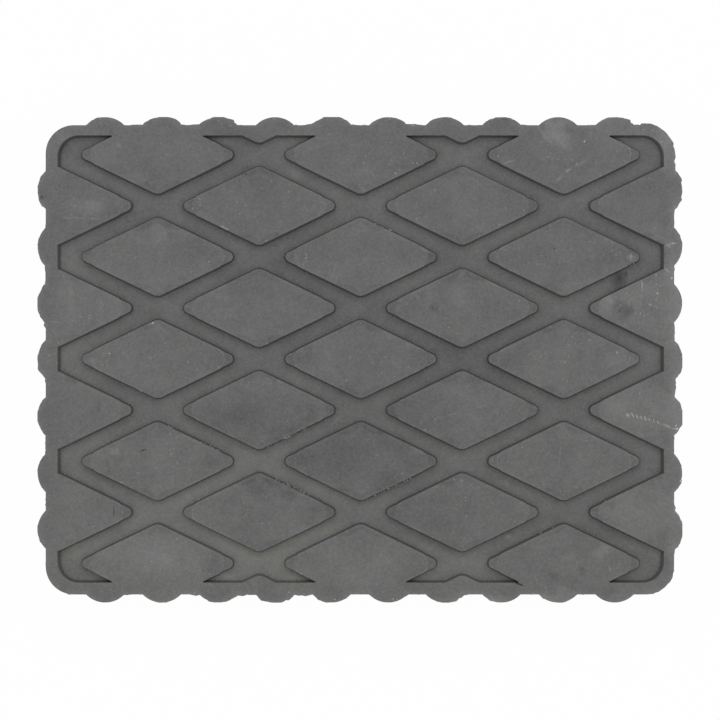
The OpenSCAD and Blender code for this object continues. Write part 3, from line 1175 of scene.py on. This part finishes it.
def edge_distance(tree, place, block):
    """Distance in from the ribbed outline. The outline is a rounded block and the circles of its ribs, so
    this is the furthest in that a point is from any one of them."""
    radius = rib_radius(block)
    sizes = (block.length, block.width)
    axes = node(tree, "SeparateXYZ", {0: place})
    away = [node(tree, "Math", {0: axes.outputs[k]}, operation="ABSOLUTE") for k in (0, 1)]
    past = {}
    for k in (0, 1):
        straight = sizes[k] / 2 - block.corner_radius
        past[k] = node(tree, "Math", {0: away[k], 1: straight}, operation="SUBTRACT")
        past[k] = node(tree, "Math", {0: past[k], 1: 0.0}, operation="MAXIMUM")
    past = node(tree, "CombineXYZ", past)
    reach = node(tree, "VectorMath", {0: past}, operation="LENGTH").outputs["Value"]
    inside = node(tree, "Math", {0: block.corner_radius, 1: reach}, operation="SUBTRACT")
    for k in (0, 1):
        last = rib_places(block, sizes[k])[-1]
        centre = sizes[1 - k] / 2 + block.rib_out - radius
        beside = node(tree, "Math", {0: axes.outputs[k], 1: last}, operation="ADD")
        beside = node(tree, "Math", {0: beside, 1: block.rib_pitch / 2}, operation="PINGPONG")
        beyond = node(tree, "Math", {0: away[k], 1: last}, operation="SUBTRACT")
        beside = node(tree, "Math", {0: beside, 1: beyond}, operation="MAXIMUM")
        out = node(tree, "Math", {0: away[1 - k], 1: centre}, operation="SUBTRACT")
        spot = node(tree, "CombineXYZ", {0: beside, 1: out})
        reach = node(tree, "VectorMath", {0: spot}, operation="LENGTH").outputs["Value"]
        rib = node(tree, "Math", {0: radius, 1: reach}, operation="SUBTRACT")
        inside = node(tree, "Math", {0: inside, 1: rib}, operation="MAXIMUM")
    return inside


def lug_wear_and_highlight(tree, place, edge, uneven, tread):
    """How much paler a lug is along its edges, where a painted highlight lies on the rubbing, and along its
    tip steps, which rub the most, and how much darker its lowered tips are. uneven picks the tips. The grid
    of lugs is folded onto one quarter of a lug and one quarter of its neighbour."""
    axes = node(tree, "SeparateXYZ", {0: place})
    folded = {}
    for k in (0, 1):
        folded[k] = node(tree, "Math", {0: axes.outputs[k], 1: tread.shift[k]}, operation="SUBTRACT")
        folded[k] = node(tree, "Math", {0: folded[k], 1: tread.pitch[k] / 2}, operation="PINGPONG")
    half = tip_half(tread)
    inner = node(tree, "Math", {0: folded[0], 1: math.sin(half)}, operation="MULTIPLY")
    inner = node(tree, "Math", {0: folded[1], 1: math.cos(half), 2: inner}, operation="MULTIPLY_ADD")
    opposite = tread.pitch[0] / 2 * math.sin(half) + tread.pitch[1] / 2 * math.cos(half)
    outer = node(tree, "Math", {0: opposite, 1: inner}, operation="SUBTRACT")
    nearest = node(tree, "Math", {0: inner, 1: outer}, operation="MINIMUM")
    side = tread.lug_length / 2 * math.sin(half)
    # The folded grid has lugs in the rim too, and there they are left out
    within = node(tree, "MapRange", {0: edge, 1: 4.8 * MM, 2: 5.2 * MM})
    # A lug gets paler over the last 0.8 mm to its edge, as a painted highlight along the edge and as
    # rubbing
    rubbed_and_highlit = node(tree, "Math", {0: within, 1: 0.2}, operation="MULTIPLY")
    rubbed_and_highlit = node(tree, "MapRange", {0: nearest, 1: side - 0.8 * MM, 2: side, 3: 0.0, 4: rubbed_and_highlit})
    spot = node(tree, "CombineXYZ", folded)
    # The step at each tip is rubbed pale along its arc, but only on some lugs
    pale = node(tree, "MapRange", {0: uneven, 1: 0.52, 2: 0.7, 3: 0.0, 4: 0.8})
    # The tip beyond it lies lower, where nothing rubs it
    dull = node(tree, "MapRange", {0: uneven, 1: 0.65, 2: 0.35, 3: -0.12, 4: -0.3})
    reach = tread.step_radius / math.sin(half)
    tips = ((tread.lug_length / 2, 0, -1), ((tread.pitch[0] - tread.lug_length) / 2, tread.pitch[1] / 2, 1))
    for x, y, inwards in tips:
        off, arc = (
            node(tree, "VectorMath", {0: spot, 1: (centre, y, 0)}, operation="DISTANCE").outputs["Value"]
            for centre in (x, x + inwards * reach)
        )
        # Only the part of the circle that is within 6 mm of the tip is the step's arc
        near = node(tree, "MapRange", {0: off, 1: 6.2 * MM, 2: 5.8 * MM, 4: within})
        arc = node(tree, "Math", {0: arc, 1: tread.step_radius}, operation="SUBTRACT")
        beyond = node(tree, "MapRange", {0: arc, 1: -0.05 * MM, 2: 0.25 * MM})
        beyond = node(tree, "Math", {0: beyond, 1: dull}, operation="MULTIPLY")
        arc = node(tree, "Math", {0: arc, 1: -0.15 * MM, 2: 0.15 * MM}, operation="COMPARE")
        arc = node(tree, "Math", {0: arc, 1: pale, 2: beyond}, operation="MULTIPLY_ADD")
        rubbed_and_highlit = node(tree, "Math", {0: arc, 1: near, 2: rubbed_and_highlit}, operation="MULTIPLY_ADD")
    return rubbed_and_highlit


def moulded_rubber():
    """Natural and styrene-butadiene rubber with carbon black, pressed in a machined mould. It is matt, and
    wax bloom and dust have faded it to an uneven grey with pale specks. Painted shade makes it a little
    darker down in the channels and beside one lug wall, and painted highlights pale the lug edges and the
    outer edge."""
    rubber, block, tread = settings("rubber"), settings("block"), settings("tread")
    material, tree, shader = new_material("moulded_black_rubber")
    place = node(tree, "TexCoord").outputs["Object"]
    axes = node(tree, "SeparateXYZ", {0: place})
    noise = {}
    for name, size, detail, rough in NOISES:
        pattern = {"Vector": place, "Scale": 1 / (size * MM), "Detail": detail, "Roughness": rough}
        noise[name] = node(tree, "TexNoise", pattern)

    # 1 on the face, 0 on the channel floor
    heights = {1: block.height - 0.5 * tread.depth, 2: block.height - 0.2 * MM}
    face = node(tree, "MapRange", {0: axes.outputs[2], **heights})
    below = node(tree, "Math", {0: 1.0, 1: face}, operation="SUBTRACT")
    # Both patterns are 0.5 on average, and are set off so that the mean tone stays where it is
    mean = MEAN_TONE - 0.5 * (rubber.mottling + rubber.grain)
    tone = node(tree, "Math", {0: noise["mottle"], 1: rubber.mottling, 2: mean}, operation="MULTIPLY_ADD")
    tone = node(tree, "Math", {0: noise["grain"], 1: rubber.grain, 2: tone}, operation="MULTIPLY_ADD")
    # Bloom is thin where it was wiped, so that smears are broken up in patches
    broken = node(tree, "MapRange", {0: noise["wiped"], 1: 0.35, 2: 0.65, 3: 0.2, 4: 2.4})
    # No mark has a clean outline, so one slow push warps them all
    pushed = {0: noise["push"].outputs["Color"], 1: (0.5, 0.5, 0.5)}
    push = node(tree, "VectorMath", pushed, operation="SUBTRACT")
    areas = spots(tree, warped(tree, place, push, 6 * MM), AREAS)
    smears = spots(tree, warped(tree, place, push, 1.3 * MM), SMEARS, broken)
    # The floor table adds dust and one strip of painted shade
    silt_and_shade = spots(tree, warped(tree, place, push, 2 * MM), SILT_AND_SHADE)
    # The outer edge is pale over its last 2 mm, as a painted highlight along the edge and as the wear of
    # handling
    edge = edge_distance(tree, place, block)
    outer = node(tree, "MapRange", {0: edge, 1: 2.0 * MM, 2: 0.1 * MM})
    outer = node(tree, "Math", {0: outer, 1: 2.0}, operation="POWER")
    outer = node(tree, "Math", {0: outer, 1: rubber.edge_wear_and_highlight}, operation="MULTIPLY")
    shown = areas
    for part in (smears, lug_wear_and_highlight(tree, place, edge, noise["rubbing"], tread), outer):
        shown = node(tree, "Math", {0: shown, 1: part}, operation="ADD")
    for part, share in ((shown, face), (silt_and_shade, below)):
        tone = node(tree, "Math", {0: part, 1: share, 2: tone}, operation="MULTIPLY_ADD")
    # Dust rubbed in is warm and bloom is cool. The lower part of the pad is dustier, and silt is warm
    hue = node(tree, "MapRange", {0: noise["hue"], 1: 0.3, 2: 0.7, 3: 0.05, 4: 1.05})
    dusty = node(tree, "Math", {0: axes.outputs[1], 1: -1.7, 2: hue}, operation="MULTIPLY_ADD")
    warm = node(tree, "Math", {0: silt_and_shade, 1: below}, operation="MULTIPLY")
    hue = node(tree, "Math", {0: warm, 1: 0.35, 2: dusty}, operation="MULTIPLY_ADD", use_clamp=True)
    faded = node(tree, "Mix", {0: hue, 6: linear(rubber.cool), 7: linear(rubber.warm)}, data_type="RGBA")
    toned = node(
        tree, "Mix", {0: tone, 6: linear(rubber.dark), 7: faded.outputs[2]},
        data_type="RGBA", clamp_factor=False,
    )
    # Painted shade: the channel floors are multiplied by the channel tint, which darkens them a little
    floor = node(tree, "Mix", {0: face, 6: linear(rubber.channel), 7: (1, 1, 1, 1)}, data_type="RGBA")
    toned = node(
        tree, "Mix", {0: 1.0, 6: toned.outputs[2], 7: floor.outputs[2]},
        data_type="RGBA", blend_type="MULTIPLY",
    )
    # Grains of dust about 0.3 mm wide lie in drifts. Nearly all are faint, and few are in the channels
    cells = {"Vector": warped(tree, place, push, 3 * MM), "Scale": 1 / (1.1 * MM)}
    cells = node(tree, "TexVoronoi", cells, voronoi_dimensions="2D")
    chance = node(tree, "SeparateColor", {0: cells.outputs["Color"]})
    size = node(tree, "MapRange", {0: chance.outputs[2], 3: 0.11, 4: 0.2})
    spread = node(tree, "MapRange", {0: cells.outputs["Distance"], 1: size, 2: 0.05})
    drift = node(tree, "MapRange", {0: noise["drift"], 1: 0.42, 2: 0.66, 3: 0.1, 4: 0.6})
    drifts = spots(tree, warped(tree, place, push, 4 * MM), DRIFTS)
    drift = node(tree, "Math", {0: drift, 1: drifts}, operation="ADD", use_clamp=True)
    lies = node(tree, "MapRange", {0: face, 3: 0.15, 4: 1.0})
    for part in (spread, lies):
        drift = node(tree, "Math", {0: drift, 1: part}, operation="MULTIPLY")
    for channel, colour, most in ((0, rubber.speck, 1.0), (1, rubber.dark, 0.6)):
        share = node(tree, "MapRange", {0: chance.outputs[channel], 1: 0.65, 2: 1.0, 4: most})
        share = node(tree, "Math", {0: share, 1: 2.5}, operation="POWER")
        share = node(tree, "Math", {0: share, 1: drift}, operation="MULTIPLY")
        toned = node(tree, "Mix", {0: share, 6: toned.outputs[2], 7: linear(colour)}, data_type="RGBA")
    rough = {1: 0.3, 2: 0.7, 3: rubber.roughness + ROUGHNESS_SPREAD, 4: rubber.roughness - ROUGHNESS_SPREAD}
    rough = node(tree, "MapRange", {0: noise["mottle"], **rough})
    bump = node(tree, "Bump", {"Height": noise["grain"], "Distance": 0.03 * MM, "Strength": 0.7})
    feed(shader, {"Base Color": toned.outputs[2], "Roughness": rough, "Normal": bump})
    return material


def bared_rubber(name, low, high):
    """Rubber whose skin is torn or scuffed off: rough and pale, because the stretched filler shows."""
    material, tree, shader = new_material(name)
    place = node(tree, "TexCoord").outputs["Object"]
    # Fibres and crumbs of about 0.2 mm
    crumbs = node(tree, "TexNoise", {"Vector": place, "Scale": 1 / (0.4 * MM), "Detail": 3.0})
    colour = node(tree, "Mix", {0: crumbs, 6: linear(low), 7: linear(high)}, data_type="RGBA").outputs[2]
    bump = node(tree, "Bump", {"Height": crumbs, "Distance": 0.05 * MM, "Strength": 0.8})
    feed(shader, {"Base Color": colour, "Roughness": 0.85, "Normal": bump})
    return material


def studio_table(colour):
    """White laminate table, shown to the camera as white paper that still takes a faint shadow. From
    underneath it is clear, so that the pad's underside can be looked at."""
    material, tree, shader = new_material("white_table")
    feed(shader, {"Base Color": linear(colour), "Roughness": 0.9})
    path = node(tree, "LightPath")
    seen = path.outputs["Is Camera Ray"]
    for ray in ("Is Glossy Ray", "Is Transmission Ray"):
        seen = node(tree, "Math", {0: seen, 1: path.outputs[ray]}, operation="MAXIMUM")
    share = node(tree, "Math", {0: seen, 1: WHITE_SHARE}, operation="MULTIPLY")
    white = node(tree, "Emission", {"Strength": 1.0})
    mixed = node(tree, "MixShader", {0: share, 1: shader, 2: white})
    behind = node(tree, "NewGeometry").outputs["Backfacing"]
    mixed = node(tree, "MixShader", {0: behind, 1: mixed, 2: node(tree, "BsdfTransparent")})
    feed(tree.nodes["Material Output"], {"Surface": mixed})
    return material


class LIFTPAD_OT_stage(bpy.types.Operator):
    """Makes the white table, the lights and the camera"""

    bl_idname = "lift_pad.stage"
    bl_label = "Stage"

    def execute(self, context):
        studio, block = settings("studio"), settings("block")
        bm = bmesh.new()
        below = Matrix.Translation((0, 0, -TABLE_GAP))
        bmesh.ops.create_grid(bm, x_segments=1, y_segments=1, size=TABLE_REACH, matrix=below)
        table = new_object("table", bm, [studio_table(studio.table)])

        world = bpy.data.worlds.new("even_light")
        world.use_nodes = True
        camera_ray = node(world.node_tree, "LightPath").outputs["Is Camera Ray"]
        level = {0: camera_ray, 2: studio.sky, 3: 1.0}
        level = node(world.node_tree, "Mix", level, data_type="FLOAT")
        feed(world.node_tree.nodes["Background"], {"Strength": level, "Color": (1, 1, 1, 1)})
        context.scene.world = world

        lamp = bpy.data.lights.new("key", "AREA")
        lamp.shape = "SQUARE"
        lamp.size = LAMP_SIZE
        lamp.energy = studio.key
        key = bpy.data.objects.new("key", lamp)
        key.location = LAMP_PLACE
        key.rotation_euler = (Vector((0, 0, 0)) - key.location).to_track_quat("-Z", "Y").to_euler()
        context.scene.collection.objects.link(key)

        lens = bpy.data.cameras.new("overhead")
        lens.sensor_width = SENSOR_WIDTH
        lens.lens = lens.sensor_width * studio.camera_height / studio.view_width
        camera = bpy.data.objects.new("overhead", lens)
        camera.location = (studio.aim[0], studio.aim[1], block.height + studio.camera_height)
        context.scene.collection.objects.link(camera)
        context.scene.camera = camera
        context.scene.view_settings.view_transform = "Standard"
        return {"FINISHED"}


class LIFTPAD_PT_panel(bpy.types.Panel):
    """Lists the pad's settings and its two makers"""

    bl_idname = "LIFTPAD_PT_panel"
    bl_label = "Lift Pad"
    bl_space_type = "VIEW_3D"
    bl_region_type = "UI"
    bl_category = "Lift Pad"

    def draw(self, context):
        for name, group in GROUPS.items():
            box = self.layout.box()
            box.label(text=group.__doc__)
            for key in group.__annotations__:
                box.prop(settings(name), key)
        self.layout.operator(LIFTPAD_OT_pad.bl_idname)
        self.layout.operator(LIFTPAD_OT_stage.bl_idname)


GROUPS = {
    "block": LiftPadBlock,
    "tread": LiftPadTread,
    "wear": LiftPadWear,
    "rubber": LiftPadRubber,
    "studio": LiftPadStudio,
}
TOOLS = (LIFTPAD_OT_pad, LIFTPAD_OT_stage, LIFTPAD_PT_panel)


def register():
    for name, group in GROUPS.items():
        bpy.utils.register_class(group)
        setattr(bpy.types.Scene, "lift_pad_" + name, bpy.props.PointerProperty(type=group))
    for tool in TOOLS:
        bpy.utils.register_class(tool)


def unregister():
    for tool in reversed(TOOLS):
        bpy.utils.unregister_class(tool)
    for name, group in GROUPS.items():
        delattr(bpy.types.Scene, "lift_pad_" + name)
        bpy.utils.unregister_class(group)


def main():
    register()
    bpy.ops.lift_pad.pad()
    bpy.ops.lift_pad.stage()


if __name__ == "__main__":
    main()
